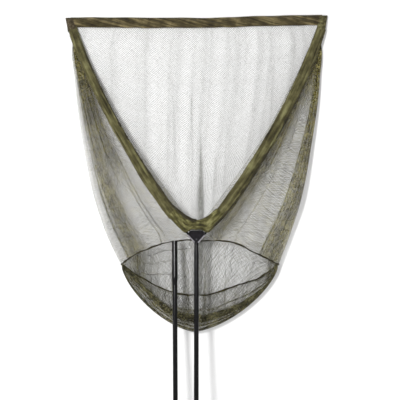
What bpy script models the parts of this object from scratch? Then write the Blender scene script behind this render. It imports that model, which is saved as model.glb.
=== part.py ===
"""Triangular landing net that leans upright, with the lower half of its handle standing beside it.

Metres, +Z up. +X is to the right seen from the front and +Y runs away from the front, toward what it leans on.
The origin is the centre of the butt face of the upper handle section. The flat frame leans back by LEAN
about the X axis through the origin, so a point of the frame is given by x, its height z, and how far it
stands out of the frame plane toward the front.
"""

import math

import bpy
import numpy as np

LEAN = math.radians(7.0)

HANDLE_LENGTH = 0.914
HANDLE_RADIUS = 0.0098
LOWER_BUTT = (-0.081, 0.028, 0.0)
LOWER_TOP = (-0.089, 0.146, 0.961)
LOWER_JOINT_RADIUS = 0.0116
LOWER_JOINT_LENGTH = 0.150
LOWER_JOINT_TAPER = 0.030

FERRULE_RADIUS = 0.0094
FERRULE_RING_RADIUS = 0.0106
FERRULE_RING_HEIGHT = 0.005
GAP = 0.0004

BLOCK_BOTTOM = 0.953
BLOCK_TOP = 1.003
BLOCK_HALF_DEPTH = 0.012
BLOCK_RIM = 0.0055
RECESS_DEPTH = 0.004
SCREW_RADIUS = 0.0032
SCREW_HEIGHT = 0.968

ARM_ROOT_X = 0.031
ARM_ROOT_Z = 0.986
ARM_SPREAD = 0.80
ARM_BOW = 0.267
ARM_START_Z = 0.979
ARM_END_Z = 1.880
ARM_ROOT_RADIUS = 0.0040
ARM_TIP_RADIUS = 0.0026
SOCKET_PLAY = 0.0005

CLOTH = 0.0016
SLEEVE_HALF_WIDTH = 0.0225
SLEEVE_HALF_DEPTH = 0.0066
SLEEVE_LOW_Z = 1.090
SLEEVE_HIGH_Z = 1.832
TOP_HALF_HEIGHT = 0.0205
TOP_HALF_DEPTH = 0.0062
POCKET_HALF_WIDTH = 0.0175
POCKET_HALF_DEPTH = 0.0072
POCKET_LOW_Z = 1.8365
POCKET_HIGH_Z = 1.893

NET = 0.0016
NET_FRINGE = 0.040
NET_BEHIND_ARM = 0.0105
NET_BACK_Y = 0.2350
NET_TOP_Z = 1.842
NET_TOP_Y = 0.2275
NET_UNDER_SLEEVE = 0.0022
NET_SIDE_START_Z = 1.775
NET_CURL_Z = 1.815
NET_SEAM_GAP = 0.0018
RING_FRONT_Y = 0.168
RING_RADIUS = 0.0024
RING_GAP = 0.0058
BOTTOM_X = -0.008
BOTTOM_Z = 0.583
BASE_POWER = 1.5
BASE_DROP = 1.25
BASE_LAST_TURN = math.radians(79.0)

# height: world height; left, right: how far the outline of the bag stands from x = 0 on each side
OUTLINE = (
    # height, left, right
    (1.842, 0.497, 0.495),
    (1.790, 0.514, 0.516),
    (1.628, 0.505, 0.513),
    (1.355, 0.467, 0.476),
    (1.107, 0.412, 0.426),
    (0.960, 0.360, 0.378),
    (0.862, 0.312, 0.340),
)

# the seam round the bag where the base is sewn on; across runs from the left end to the right end
RING = (
    # across, x, front_z, back_z
    (-1.00, -0.312, 0.862, 0.862),
    (-0.80, -0.250, 0.905, 0.818),
    (-0.50, -0.156, 0.943, 0.765),
    (-0.15, -0.047, 0.963, 0.733),
    (0.15, 0.047, 0.960, 0.733),
    (0.50, 0.160, 0.951, 0.770),
    (0.80, 0.262, 0.900, 0.805),
    (1.00, 0.340, 0.862, 0.862),
)

# middle of the sleeve across the tips
TOP_LINE = (
    # x, z
    (-0.496, 1.869),
    (-0.250, 1.867),
    (0.000, 1.867),
    (0.250, 1.873),
    (0.496, 1.879),
)

# folds that run from the tip down each side panel; across is 0 at the arm and 1 at the outline
SIDE_FOLDS = (
    # across, width, height
    (0.48, 0.070, 0.0045),
    (0.64, 0.070, 0.0060),
    (0.80, 0.060, 0.0050),
)

# folds that run down the front of the base; across runs from -1 to 1
BASE_FOLDS = (
    # across, width, height
    (-0.60, 0.12, 0.0040),
    (-0.30, 0.10, 0.0035),
    (0.12, 0.10, 0.0040),
    (0.45, 0.12, 0.0035),
    (0.72, 0.10, 0.0040),
)

# upright folds of the back panel; across runs from -1 to 1, start is where each begins from the top
BACK_FOLDS = (
    # across, width, height, start
    (-0.62, 0.10, 0.0030, 0.10),
    (-0.28, 0.10, 0.0030, 0.30),
    (0.03, 0.06, 0.0080, 0.45),
    (0.34, 0.10, 0.0035, 0.20),
    (0.66, 0.10, 0.0030, 0.10),
)

# throat cloth, right half: its folded upper edge and its open lower edge
THROAT = (
    # along, top_x, top_z, low_x, low_z
    (0.00, 0.000, 1.0470, 0.000, 1.0075),
    (0.22, 0.014, 1.0485, 0.022, 1.0075),
    (0.40, 0.028, 1.0540, 0.044, 0.9960),
    (0.65, 0.049, 1.0660, 0.073, 1.0180),
    (1.00, 0.0805, 1.0930, 0.1165, 1.0640),
)

COLOURS = {
    # slot: red, green, blue, roughness, metallic
    "black_tube": (0.006, 0.006, 0.007, 0.30, 0.0),
    "black_moulding": (0.012, 0.011, 0.013, 0.45, 0.0),
    "grey_metal": (0.20, 0.20, 0.21, 0.35, 1.0),
    "olive_cloth": (0.130, 0.118, 0.062, 0.85, 0.0),
    "brown_cloth": (0.085, 0.070, 0.042, 0.85, 0.0),
    "olive_net": (0.110, 0.105, 0.075, 0.80, 0.0),
    "pale_net": (0.190, 0.185, 0.150, 0.80, 0.0),
}


def clear_scene():
    for obj in list(bpy.data.objects):
        bpy.data.objects.remove(obj, do_unlink=True)


def material(slot):
    if slot in bpy.data.materials:
        return bpy.data.materials[slot]
    red, green, blue, roughness, metallic = COLOURS[slot]
    made = bpy.data.materials.new(slot)
    made.use_nodes = True
    shader = made.node_tree.nodes["Principled BSDF"]
    shader.inputs["Base Color"].default_value = (red, green, blue, 1.0)
    shader.inputs["Roughness"].default_value = roughness
    shader.inputs["Metallic"].default_value = metallic
    return made


def add(name, points, faces, slot, smooth_faces=True):
    mesh = bpy.data.meshes.new(name)
    mesh.from_pydata([tuple(map(float, p)) for p in points], [], [tuple(map(int, f)) for f in faces])
    mesh.validate()
    obj = bpy.data.objects.new(name, mesh)
    bpy.context.scene.collection.objects.link(obj)
    obj.data.materials.append(material(slot))
    for polygon in mesh.polygons:
        polygon.use_smooth = smooth_faces
    return obj


def on_frame(x, height, out=0.0):
    """World points for x and height in the leaning frame plane, moved out of it toward the front."""
    x, height, out = np.broadcast_arrays(*(np.asarray(v, float) for v in (x, height, out)))
    return np.stack([x, height * math.tan(LEAN) - out * math.cos(LEAN), height + out * math.sin(LEAN)], -1)


def smooth(at, knots, values):
    """A smooth curve through a short table."""
    at = np.asarray(at, float)
    knots = np.asarray(knots, float)
    values = np.asarray(values, float)
    if knots[0] > knots[-1]:
        knots, values = knots[::-1], values[::-1]
    slopes = np.gradient(values, knots)
    i = np.clip(np.searchsorted(knots, at, side="right") - 1, 0, len(knots) - 2)
    span = knots[i + 1] - knots[i]
    t = np.clip((at - knots[i]) / span, 0.0, 1.0)
    start, end = values[i], values[i + 1]
    return (
        (2 * t**3 - 3 * t**2 + 1) * start
        + (t**3 - 2 * t**2 + t) * span * slopes[i]
        + (3 * t**2 - 2 * t**3) * end
        + (t**3 - t**2) * span * slopes[i + 1]
    )


def column(table, index):
    return [row[index] for row in table]


def step(value):
    value = np.clip(value, 0.0, 1.0)
    return value * value * (3 - 2 * value)


def arm_x(height):
    rise = np.asarray(height, float) - ARM_ROOT_Z
    return ARM_ROOT_X + ARM_SPREAD * rise - ARM_BOW * rise**2


def arm_inward(height):
    """Unit vector (x, z) in the frame, square to the right arm and toward the mouth."""
    slope = ARM_SPREAD - 2 * ARM_BOW * (np.asarray(height, float) - ARM_ROOT_Z)
    length = np.sqrt(1 + slope**2)
    return -1 / length, slope / length


def front_depth(height):
    """How far back the front layer of the bag hangs."""
    height = np.asarray(height, float)
    behind_arm = height * math.tan(LEAN) + NET_BEHIND_ARM
    share = step((height - 0.97) / 0.20)
    return RING_FRONT_Y * (1 - share) + behind_arm * share


def back_depth(height):
    height = np.asarray(height, float)
    return NET_BACK_Y - (NET_BACK_Y - NET_TOP_Y) * step((height - NET_CURL_Z) / (NET_TOP_Z - NET_CURL_Z))


def outline_depth(height):
    return np.minimum(0.5 * (front_depth(height) + NET_BACK_Y), back_depth(height))


def outline_x(height, side):
    return side * smooth(height, column(OUTLINE, 0), column(OUTLINE, 2 if side > 0 else 1))


def ring_xz(across, back):
    knots = column(RING, 0)
    return smooth(across, knots, column(RING, 1)), smooth(across, knots, column(RING, 3 if back else 2))


def folds(across, rows):
    """Sum of rounded ridges at the given places."""
    across = np.asarray(across, float)
    return sum(row[2] * np.exp(-(((across - row[0]) / (0.5 * row[1])) ** 2)) for row in rows)


def even(points, count, first=0.0, last=1.0):
    """Points at even steps of length along a polyline, from share first to share last of it."""
    points = np.asarray(points, float)
    run = np.concatenate([[0.0], np.cumsum(np.linalg.norm(np.diff(points, axis=0), axis=1))])
    at = np.linspace(first, last, count) * run[-1]
    return np.stack([np.interp(at, run, points[:, k]) for k in range(points.shape[1])], -1)


def arm_edge(side):
    """(x, z) of the inner edge of a side panel: along the arm, then down the middle to the ring."""
    heights = np.linspace(NET_SIDE_START_Z, ARM_ROOT_Z, 160)
    inward_x, inward_z = arm_inward(heights)
    x = arm_x(heights) + NET_FRINGE * inward_x
    z = heights + NET_FRINGE * inward_z
    keep = x > 0.003
    middle_z = np.linspace(z[keep][-1], float(ring_xz(0.0, False)[1]), 12)[1:]
    x = np.concatenate([x[keep], np.full(len(middle_z), 0.003)])
    z = np.concatenate([z[keep], middle_z])
    return np.stack([side * x, z], -1)


def side_panel(side, across_count, down_count):
    """Grid of world points [down, across] of the left or right panel."""
    down = np.linspace(0.0, 1.0 - RING_GAP, down_count)
    full = np.linspace(0.0, 1.0, 400)
    inner = even(arm_edge(side), 400)
    heights = np.linspace(NET_SIDE_START_Z, OUTLINE[-1][0], 400)
    outer = even(np.stack([outline_x(heights, side), heights], -1), 400)
    inner = np.stack([np.interp(down, full, inner[:, k]) for k in (0, 1)], -1)
    outer = np.stack([np.interp(down, full, outer[:, k]) for k in (0, 1)], -1)
    room = NET_BACK_Y - front_depth(outer[:, 1])
    last = np.arccos(np.clip(NET_SEAM_GAP / (0.5 * room), 0.0, 0.75))
    turn = np.linspace(0.0, 1.0, across_count)[None, :] * last[:, None]
    across = np.sin(turn)
    ring_x, ring_z = ring_xz(side * across, False)
    end = np.array([[outline_x(OUTLINE[-1][0], side), OUTLINE[-1][0]]])
    start = np.array([[side * 0.003, float(ring_xz(0.0, False)[1])]])
    weight = (down**3)[:, None]
    x = (1 - across) * inner[:, :1] + across * outer[:, :1]
    x = x + weight * (ring_x - ((1 - across) * start[:, :1] + across * end[:, :1]))
    z = (1 - across) * inner[:, 1:] + across * outer[:, 1:]
    z = z + weight * (ring_z - ((1 - across) * start[:, 1:] + across * end[:, 1:]))
    bend = 1 - np.cos(turn)
    y = front_depth(z) * (1 - bend) + outline_depth(z) * bend
    swell = np.sin(math.pi * np.clip(down * 1.02, 0, 1)) ** 0.6
    y = y - folds(across, SIDE_FOLDS) * np.clip((room - 0.02) / 0.04, 0.0, 1.0)[:, None] * swell[:, None]
    return np.stack([x, y, z], -1)


def back_panel(across_count, down_count):
    low = OUTLINE[-1][0]
    curl = (NET_TOP_Z - NET_CURL_Z) / (NET_TOP_Z - low)
    down = np.concatenate([[0.0], np.linspace(curl, 1.0 - RING_GAP, down_count - 1)])[:, None]
    height = NET_TOP_Z + (low - NET_TOP_Z) * down
    left = outline_x(height, -1)
    right = outline_x(height, 1)
    half_room = np.maximum(back_depth(height) - outline_depth(height), 0.0012)
    last = np.arccos(np.clip((NET_SEAM_GAP / half_room) ** 2, 0.0, 0.45))
    turn = np.linspace(-1.0, 1.0, across_count)[None, :] * last
    across = np.sin(turn)
    share = 0.5 * (1 + across)
    ring_x, ring_z = ring_xz(across, True)
    straight_x = OUTLINE[-1][2] * share - OUTLINE[-1][1] * (1 - share)
    x = left * (1 - share) + right * share + down**3 * (ring_x - straight_x)
    under_sleeve = smooth(x, column(TOP_LINE, 0), column(TOP_LINE, 1)) - TOP_HALF_HEIGHT - NET_UNDER_SLEEVE
    z = height + down**3 * (ring_z - low) + np.clip(1 - 9 * down, 0, 1) * (under_sleeve - NET_TOP_Z)
    bend = np.sqrt(np.clip(np.cos(turn), 0.0, 1.0))
    y = outline_depth(z) * (1 - bend) + back_depth(z) * bend
    for place, width, depth, begin in BACK_FOLDS:
        shape = np.exp(-(((across - place) / (0.5 * width)) ** 2))
        y = y - depth * shape * step((down - begin) / 0.4)
    return np.stack([x, y, z], -1)


def ring_loop(count):
    """World points round the ring seam: the front from left to right, then the back from right to left."""
    turn = np.linspace(-math.pi / 2, math.pi / 2, count // 2 + 1)
    across = np.sin(turn)
    front_x, front_z = ring_xz(across, False)
    back_x, back_z = ring_xz(across, True)
    ends = outline_depth(OUTLINE[-1][0])
    front_y = ends + (front_depth(front_z) - ends) * np.cos(turn)
    back_y = ends + (NET_BACK_Y - ends) * np.sqrt(np.clip(np.cos(turn), 0, 1))
    front = np.stack([front_x, front_y, front_z], -1)
    back = np.stack([back_x, back_y, back_z], -1)
    return np.concatenate([front[:-1], back[::-1][:-1]])


def bottom_z(x):
    """Height of the lowest fold of the base, below a given x."""
    reach = np.where(x < BOTTOM_X, BOTTOM_X - RING[0][1], RING[-1][1] - BOTTOM_X)
    share = np.clip(np.abs(x - BOTTOM_X) / reach, 0.0, 1.0)
    end = OUTLINE[-1][0]
    return end - (end - BOTTOM_Z) * (1 - share**BASE_POWER) ** (1 / BASE_POWER)


def base_panel(across_count, along_count):
    """Grid [along, across] of the base: down from the front of the ring, round the bottom, up to its back."""
    turn = np.linspace(-BASE_LAST_TURN, BASE_LAST_TURN, across_count)
    across = np.sin(turn)
    front_x, front_z = ring_xz(across, False)
    back_x, back_z = ring_xz(across, True)
    ends = outline_depth(OUTLINE[-1][0])
    front_y = ends + (front_depth(front_z) - ends) * np.cos(turn)
    back_y = ends + (NET_BACK_Y - ends) * np.sqrt(np.cos(turn))
    low_x = front_x - 0.10 * (front_x - BOTTOM_X) * (1 - across**2)
    low_y = 0.5 * (front_y + back_y)
    low_z = bottom_z(low_x)
    rows = []
    for along in np.linspace(0.0, 2.0, along_count):
        front = along <= 1.0
        height = front_z if front else back_z
        first = np.arcsin((RING_GAP / (height - low_z)) ** (1 / BASE_DROP))
        down = first + (along if front else 2.0 - along) * (math.pi / 2 - first)
        fallen = np.sin(down) ** BASE_DROP
        x = front_x + (low_x - front_x) * fallen
        y = low_y + ((front_y if front else back_y) - low_y) * np.cos(down) ** 0.9
        rows.append(np.stack([x, y, height + (low_z - height) * fallen], -1))
    grid = np.array(rows)
    front_share = np.clip(1.0 - np.linspace(0.0, 2.0, along_count), 0.0, 1.0)[:, None]
    lift = folds(across[None, :], BASE_FOLDS) * np.sin(math.pi * front_share)
    grid[:, :, 1] -= lift
    return grid


def grid_faces(rows, columns, wrap=False):
    faces = []
    for j in range(rows - 1):
        for i in range(columns if wrap else columns - 1):
            k = (i + 1) % columns
            faces.append((j * columns + i, j * columns + k, (j + 1) * columns + k, (j + 1) * columns + i))
    return faces


def thicken(obj, thickness, offset=0.0):
    solid = obj.modifiers.new("thickness", "SOLIDIFY")
    solid.thickness = thickness
    solid.offset = offset
    return obj


def cloth_grid(name, grid, slot, thickness, wrap=False, flip=False):
    rows, columns = grid.shape[:2]
    faces = grid_faces(rows, columns, wrap)
    if flip:
        faces = [face[::-1] for face in faces]
    return thicken(add(name, grid.reshape(-1, 3), faces, slot), thickness)


def sweep(centres, wide, deep, half_wide, half_deep, segments, power=1.0):
    """Rings of points round each centre, with half widths along two directions."""
    angle = 2 * math.pi * np.arange(segments) / segments
    round_x = np.sign(np.cos(angle)) * np.abs(np.cos(angle)) ** power
    round_y = np.sign(np.sin(angle)) * np.abs(np.sin(angle)) ** power
    half_wide = np.broadcast_to(half_wide, len(centres))[:, None, None]
    half_deep = np.broadcast_to(half_deep, len(centres))[:, None, None]
    return (
        centres[:, None, :]
        + half_wide * round_x[None, :, None] * wide[:, None, :]
        + half_deep * round_y[None, :, None] * deep[:, None, :]
    )


def capped(name, rings, slot, smooth_faces=True):
    rows, columns = rings.shape[:2]
    faces = grid_faces(rows, columns, wrap=True)
    faces.append(tuple(range(columns))[::-1])
    faces.append(tuple((rows - 1) * columns + i for i in range(columns)))
    return outward(add(name, rings.reshape(-1, 3), faces, slot, smooth_faces))


def outward(obj):
    """Turns every face of a closed body outward."""
    mesh = obj.data
    points = np.array([v.co[:] for v in mesh.vertices])
    volume = 0.0
    for polygon in mesh.polygons:
        corner = points[list(polygon.vertices)]
        for i in range(1, len(corner) - 1):
            volume += float(np.dot(corner[0], np.cross(corner[i], corner[i + 1])))
    if volume < 0:
        mesh.flip_normals()
    return obj


def lathe(name, start, direction, profile, slot, segments=28):
    """A round body from (distance along, radius) pairs, closed at both ends."""
    direction = np.asarray(direction, float) / np.linalg.norm(direction)
    side = np.array([1.0, 0.0, 0.0])
    side = side - direction * side.dot(direction)
    side = side / np.linalg.norm(side)
    other = np.cross(direction, side)
    along = np.array([row[0] for row in profile])
    radius = np.array([row[1] for row in profile])
    centres = np.asarray(start, float) + along[:, None] * direction
    wide = np.tile(side, (len(profile), 1))
    deep = np.tile(other, (len(profile), 1))
    return capped(name, sweep(centres, wide, deep, radius, radius, segments), slot)


def cut(obj, cutter):
    cutter.hide_render = True
    cutter.display_type = "WIRE"
    removal = obj.modifiers.new(cutter.name, "BOOLEAN")
    removal.operation = "DIFFERENCE"
    removal.solver = "EXACT"
    removal.object = cutter


def block_outline(inset=0.0):
    """Corners (x, z) of the spreader block seen from the front."""
    top_half = 0.026 - 0.55 * inset
    tip_half = 0.036 - 1.25 * inset
    foot_half = 0.0085 - 0.45 * inset
    top = BLOCK_TOP - inset
    return [
        (-foot_half, BLOCK_BOTTOM + 1.5 * inset),
        (foot_half, BLOCK_BOTTOM + 1.5 * inset),
        (tip_half, 0.984 + 0.1 * inset),
        (tip_half - 0.001, 0.989),
        (top_half, top),
        (-top_half, top),
        (-tip_half + 0.001, 0.989),
        (-tip_half, 0.984 + 0.1 * inset),
    ]


def prism(name, outline, low, high, slot):
    outline = np.array(outline)
    rings = np.stack([on_frame(outline[:, 0], outline[:, 1], low), on_frame(outline[:, 0], outline[:, 1], high)])
    return capped(name, rings, slot, smooth_faces=False)


def frame_direction():
    return np.array([0.0, math.sin(LEAN), math.cos(LEAN)])


def frame_normal(count):
    return np.tile([0.0, -math.cos(LEAN), math.sin(LEAN)], (count, 1))


def arm_line(side, heights):
    """Centres of the arm and the in-frame directions square to it."""
    inward_x, inward_z = arm_inward(heights)
    wide = on_frame(side * inward_x, inward_z)
    wide = wide / np.linalg.norm(wide, axis=1)[:, None]
    return on_frame(side * arm_x(heights), heights), wide


def build_handle():
    along = frame_direction()
    bevel = 0.0006
    upper = [(0.0, HANDLE_RADIUS - bevel), (bevel, HANDLE_RADIUS)]
    upper += [(HANDLE_LENGTH - bevel - GAP, HANDLE_RADIUS), (HANDLE_LENGTH - GAP, HANDLE_RADIUS - bevel)]
    lathe("handle_upper", (0.0, 0.0, 0.0), along, upper, "black_tube")

    start = np.array(LOWER_BUTT)
    direction = np.array(LOWER_TOP) - start
    length = np.linalg.norm(direction)
    joint = length - LOWER_JOINT_LENGTH
    lower = [(0.0, HANDLE_RADIUS - bevel), (bevel, HANDLE_RADIUS), (joint - LOWER_JOINT_TAPER, HANDLE_RADIUS)]
    lower += [(joint, LOWER_JOINT_RADIUS), (length - bevel, LOWER_JOINT_RADIUS), (length, LOWER_JOINT_RADIUS - bevel)]
    lathe("handle_lower", start, direction, lower, "black_tube")

    foot = BLOCK_BOTTOM / math.cos(LEAN) - GAP
    ring_top = HANDLE_LENGTH + FERRULE_RING_HEIGHT
    ferrule = [(HANDLE_LENGTH, FERRULE_RING_RADIUS - bevel), (HANDLE_LENGTH + bevel, FERRULE_RING_RADIUS)]
    ferrule += [(ring_top - bevel, FERRULE_RING_RADIUS), (ring_top, FERRULE_RADIUS), (foot, FERRULE_RADIUS * 0.92)]
    lathe("ferrule", (0.0, 0.0, 0.0), along, ferrule, "grey_metal")


def build_spreader():
    block = prism("spreader_block", block_outline(), -BLOCK_HALF_DEPTH, BLOCK_HALF_DEPTH, "black_moulding")
    floor = BLOCK_HALF_DEPTH - RECESS_DEPTH
    recess = prism("recess_cutter", block_outline(BLOCK_RIM), floor, BLOCK_HALF_DEPTH + 0.004, "black_moulding")
    cut(block, recess)
    for side in (-1, 1):
        heights = np.array([ARM_START_Z - 0.0006, ARM_START_Z + 0.030])
        ends = on_frame(side * arm_x(heights), heights)
        reach = float(np.linalg.norm(ends[1] - ends[0]))
        radius = ARM_ROOT_RADIUS + SOCKET_PLAY
        name = "socket_cutter_right" if side > 0 else "socket_cutter_left"
        cut(block, lathe(name, ends[0], ends[1] - ends[0], [(0.0, radius), (reach, radius)], "black_moulding", 20))
    centre = on_frame(0.0, SCREW_HEIGHT, floor + GAP)
    profile = [(0.0, SCREW_RADIUS), (0.0018, SCREW_RADIUS), (0.0026, SCREW_RADIUS * 0.8)]
    lathe("spreader_screw", centre, frame_normal(1)[0], profile, "grey_metal", 18)


def build_arm(side, name):
    heights = np.linspace(ARM_START_Z, ARM_END_Z, 15)
    centres, wide = arm_line(side, heights)
    radius = np.linspace(ARM_ROOT_RADIUS, ARM_TIP_RADIUS, len(heights))
    capped(name, sweep(centres, wide, frame_normal(len(heights)), radius, radius, 12), "black_tube")


def channel(name, centres, wide, half_wide, half_deep, slot, power=0.8):
    """A flat cloth tube, open at both ends, with shallow wrinkles along it."""
    count = len(centres)
    ripple = np.sin(np.arange(count) * 2.1) + 0.6 * np.sin(np.arange(count) * 0.9 + 1.0)
    deep = half_deep * (1 + 0.03 * ripple)
    rings = sweep(centres, wide, frame_normal(count), half_wide, deep, 12, power)
    return thicken(outward(add(name, rings.reshape(-1, 3), grid_faces(count, 12, wrap=True), slot)), CLOTH, -1.0)


def build_sleeves():
    for side, word in ((-1, "left"), (1, "right")):
        heights = np.linspace(SLEEVE_LOW_Z, SLEEVE_HIGH_Z, 15)
        centres, wide = arm_line(side, heights)
        narrow = 1 - 0.22 * step((heights - 1.70) / 0.13)
        channel("sleeve_" + word, centres, wide, SLEEVE_HALF_WIDTH * narrow, SLEEVE_HALF_DEPTH, "olive_cloth")

        heights = np.linspace(POCKET_LOW_Z, POCKET_HIGH_Z, 6)
        centres, wide = arm_line(side, heights)
        taper = np.array([1.0, 1.0, 1.0, 0.97, 0.88, 0.62])
        rings = sweep(
            centres, wide, frame_normal(6), POCKET_HALF_WIDTH * taper, POCKET_HALF_DEPTH * taper, 12, 0.7
        )
        tip = centres[-1] + 0.0015 * frame_direction()
        points = np.concatenate([rings.reshape(-1, 3), tip[None, :]])
        faces = grid_faces(6, 12, wrap=True)
        faces += [(60 + i, 60 + (i + 1) % 12, 72) for i in range(12)]
        pocket = add("pocket_" + word, points, faces, "brown_cloth")
        thicken(outward(pocket), CLOTH, -1.0)

    x = np.linspace(TOP_LINE[0][0], TOP_LINE[-1][0], 16)
    z = smooth(x, column(TOP_LINE, 0), column(TOP_LINE, 1))
    upward = np.tile(frame_direction(), (len(x), 1))
    channel("sleeve_top", on_frame(x, z), upward, TOP_HALF_HEIGHT, TOP_HALF_DEPTH, "olive_cloth")


def build_throat():
    along = np.linspace(-1.0, 1.0, 15)
    side = np.sign(along)
    size = np.abs(along)
    knots = column(THROAT, 0)
    top_x, top_z = side * smooth(size, knots, column(THROAT, 1)), smooth(size, knots, column(THROAT, 2))
    low_x, low_z = side * smooth(size, knots, column(THROAT, 3)), smooth(size, knots, column(THROAT, 4))
    round_part = np.linspace(0, math.pi, 7)
    shares = np.concatenate([[1.0, 0.55], 0.22 * (1 - np.sin(round_part)), [0.55, 1.0]])
    outs = np.concatenate([[0.009, 0.009], 0.009 * np.cos(round_part), [-0.009, -0.009]])
    x = top_x[:, None] * (1 - shares) + low_x[:, None] * shares
    z = top_z[:, None] * (1 - shares) + low_z[:, None] * shares
    cloth_grid("throat", on_frame(x, z, outs[None, :]), "olive_cloth", CLOTH)


def build_net():
    cloth_grid("net_back", back_panel(25, 12), "pale_net", NET)
    cloth_grid("net_left", side_panel(-1, 19, 15), "olive_net", NET)
    cloth_grid("net_right", side_panel(1, 19, 15), "olive_net", NET)
    cloth_grid("net_base", base_panel(25, 17), "olive_net", NET)
    loop = ring_loop(48)
    along = np.roll(loop, -1, axis=0) - np.roll(loop, 1, axis=0)
    along = along / np.linalg.norm(along, axis=1)[:, None]
    up = np.tile([0.0, 0.0, 1.0], (len(loop), 1))
    side = np.cross(along, up)
    side = side / np.linalg.norm(side, axis=1)[:, None]
    up = np.cross(side, along)
    rings = sweep(loop, side, up, RING_RADIUS, RING_RADIUS, 6)
    faces = grid_faces(len(loop), 6, wrap=True)
    last = (len(loop) - 1) * 6
    faces += [(last + i, last + (i + 1) % 6, (i + 1) % 6, i) for i in range(6)]
    outward(add("ring_seam", rings.reshape(-1, 3), faces, "olive_cloth"))


def main():
    clear_scene()
    build_handle()
    build_spreader()
    build_arm(-1, "arm_left")
    build_arm(1, "arm_right")
    build_sleeves()
    build_throat()
    build_net()


main()
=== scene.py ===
"""Triangular landing net: mesh bag, cloth sleeves, spreader and two-section handle, against a wall."""

import math

import bmesh
import bpy
import numpy as np
from bpy.props import FloatProperty, FloatVectorProperty, IntProperty, PointerProperty
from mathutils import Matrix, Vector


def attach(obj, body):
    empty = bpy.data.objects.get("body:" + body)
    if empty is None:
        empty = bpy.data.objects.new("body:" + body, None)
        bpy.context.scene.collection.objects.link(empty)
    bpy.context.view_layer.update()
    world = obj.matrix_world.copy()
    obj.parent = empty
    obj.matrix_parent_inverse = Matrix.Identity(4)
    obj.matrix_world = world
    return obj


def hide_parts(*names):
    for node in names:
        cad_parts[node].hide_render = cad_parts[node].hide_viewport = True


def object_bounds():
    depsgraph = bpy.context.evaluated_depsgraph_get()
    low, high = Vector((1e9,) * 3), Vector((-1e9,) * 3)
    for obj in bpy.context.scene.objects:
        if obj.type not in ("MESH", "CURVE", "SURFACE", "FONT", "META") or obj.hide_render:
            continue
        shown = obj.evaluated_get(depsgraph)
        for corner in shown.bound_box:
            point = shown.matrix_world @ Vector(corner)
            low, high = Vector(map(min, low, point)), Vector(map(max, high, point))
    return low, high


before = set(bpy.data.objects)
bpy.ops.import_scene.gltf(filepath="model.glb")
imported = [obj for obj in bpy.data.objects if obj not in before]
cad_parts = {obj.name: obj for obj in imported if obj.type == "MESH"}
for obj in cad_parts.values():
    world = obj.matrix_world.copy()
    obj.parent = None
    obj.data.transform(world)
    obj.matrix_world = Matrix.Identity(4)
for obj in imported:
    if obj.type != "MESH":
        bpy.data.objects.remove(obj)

bl_info = {
    "name": "Landing net",
    "version": (1, 0, 0),
    "blender": (4, 5, 0),
    "location": "3D View > Sidebar > Landing net",
    "description": "Builds a landing net of knotted mesh, sewn cloth and black tube on its frame",
    "category": "Add Mesh",
}

CAD_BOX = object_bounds()
LEAN = math.radians(7.0)

ARM_ROOT_X = 0.031
ARM_ROOT_Z = 0.986
ARM_SPREAD = 0.80
ARM_BOW = 0.267

SLEEVE_LOW_Z = 1.064
SLEEVE_HIGH_Z = 1.842
POCKET_LOW_Z = 1.834

NET_BEHIND_ARM = 0.0105
NET_BACK_Y = 0.2335
NET_TOP_Z = 1.842
NET_TOP_Y = 0.2285
NET_CURL_Z = 1.815
NET_SIDE_START_Z = 1.790
RING_FRONT_Y = 0.168
BOTTOM_X = -0.008
BOTTOM_Z = 0.583
BASE_POWER = 1.5
BASE_DROP = 1.25
BASE_LAST_TURN = math.radians(84.0)

# how near the edges of a panel its outer knots lie, in the panel's own measures
BACK_REACH = 0.995
SIDE_REACH = 0.998
LAST_ROW = 0.997

# the share of its bar's square that a diamond covers when it hangs at half its stretched width
HALF_HUNG_AREA = 0.866
# the narrowest gap between knots at which a thread is drawn whole, and the least share that is drawn
OPEN_GAP = 0.0025
LEAST_GAP_SHARE = 0.12

# how far the cloths stand out in front of the frame plane, and behind it
SLEEVE_BEHIND = 0.0066
POCKET_OUT = 0.0108
POCKET_BEHIND = 0.0045
TOP_OUT = 0.0085
TOP_BEHIND = 0.0042
THROAT_OUT = 0.0110
THROAT_BEHIND = 0.009
CLOTH_THICKNESS = 0.0009
POCKET_HALF_WIDTH = 0.0185

STITCH = 0.0042
STITCH_GAP = 0.0018
STITCH_RADIUS = 0.00045
SEAM_OUT = 0.0062
TIP_CREASE_SLANT = 2.6

STAGE_REACH = 6.0
LAMP_DISTANCE = 4.0
LAMP_WIDTH = 0.55
LAMP_HEIGHT = 0.75
LAMP_TURN = math.radians(20.0)
LAMP_RISE = math.radians(9.0)
CAMERA_DISTANCE = 4.0
# how much of the wall the camera sees from side to side
VIEW_WIDTH = 1.668

# height: world height; left, right: how far the outline of the bag stands from x = 0 on each side
OUTLINE = (
    # height, left, right
    (1.842, 0.497, 0.495),
    (1.790, 0.514, 0.516),
    (1.628, 0.505, 0.513),
    (1.355, 0.467, 0.476),
    (1.107, 0.412, 0.426),
    (0.960, 0.360, 0.378),
    (0.862, 0.312, 0.340),
)

# the seam round the bag where the base is sewn on; across runs from the left end to the right end
RING = (
    # across, x, front_z, back_z
    (-1.00, -0.312, 0.862, 0.862),
    (-0.80, -0.250, 0.905, 0.818),
    (-0.50, -0.156, 0.943, 0.765),
    (-0.15, -0.047, 0.963, 0.733),
    (0.15, 0.047, 0.960, 0.733),
    (0.50, 0.160, 0.951, 0.770),
    (0.80, 0.262, 0.900, 0.805),
    (1.00, 0.340, 0.862, 0.862),
)

# middle of the sleeve across the tips
TOP_LINE = (
    # x, z
    (-0.500, 1.869),
    (-0.250, 1.867),
    (0.000, 1.867),
    (0.250, 1.873),
    (0.500, 1.879),
)

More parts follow.
